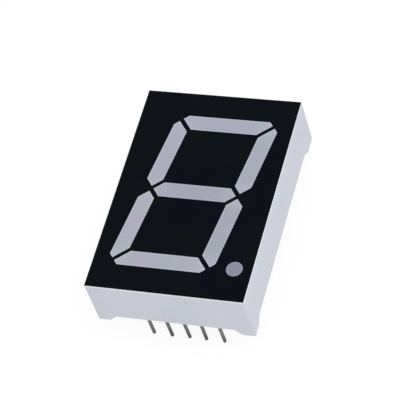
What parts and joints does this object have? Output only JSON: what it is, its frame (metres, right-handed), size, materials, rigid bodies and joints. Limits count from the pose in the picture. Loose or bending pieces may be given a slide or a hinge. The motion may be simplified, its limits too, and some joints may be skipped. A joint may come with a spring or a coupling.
{
  "type": "seven segment display",
  "caption": "Upright numeric light display: white box body with a black face, slanted digit of flush diffused bars, round decimal point, corner feet and two rows of round pins.",
  "frame": {"origin": "centre of the seating plane, where the four feet meet the user's board, midway between the pin rows", "axes": "+X to the right of the digit, +Y to its top, +Z out of its face"},
  "size_m": [0.0224, 0.033, 0.0139],
  "materials": {
    "white_plastic": "satin moulded",
    "black_ink": "matt screen print",
    "diffused_epoxy": "smooth, milky",
    "fibreglass_board": "laminate",
    "clear_epoxy": "glossy cast",
    "tinned_steel": "dull tin",
    "solder": "soldered",
    "led_die": "polished crystal",
    "gold_wire": "drawn",
    "gold_plate": "plated"
  },
  "bodies": {
    "root": {"housing": "white_plastic", "black_face": "black_ink", "segment_a": "diffused_epoxy", "segment_b": "diffused_epoxy", "segment_c": "diffused_epoxy", "segment_d": "diffused_epoxy", "segment_e": "diffused_epoxy", "segment_f": "diffused_epoxy", "segment_g": "diffused_epoxy", "decimal_point": "diffused_epoxy", "circuit_board": "fibreglass_board", "bond_pads": "gold_plate", "back_potting": "clear_epoxy", "led_dice_a": "led_die", "led_dice_b": "led_die", "led_dice_c": "led_die", "led_dice_d": "led_die", "led_dice_e": "led_die", "led_dice_f": "led_die", "led_dice_g": "led_die", "led_die_point": "led_die", "bond_wires_a": "gold_wire", "bond_wires_b": "gold_wire", "bond_wires_c": "gold_wire", "bond_wires_d": "gold_wire", "bond_wires_e": "gold_wire", "bond_wires_f": "gold_wire", "bond_wires_g": "gold_wire", "bond_wire_point": "gold_wire", "pin_1": "tinned_steel", "pin_2": "tinned_steel", "pin_3": "tinned_steel", "pin_4": "tinned_steel", "pin_5": "tinned_steel", "pin_6": "tinned_steel", "pin_7": "tinned_steel", "pin_8": "tinned_steel", "pin_9": "tinned_steel", "pin_10": "tinned_steel", "solder_1": "solder", "solder_2": "solder", "solder_3": "solder", "solder_4": "solder", "solder_5": "solder", "solder_6": "solder", "solder_7": "solder", "solder_8": "solder", "solder_9": "solder", "solder_10": "solder"}
  },
  "joints": []
}
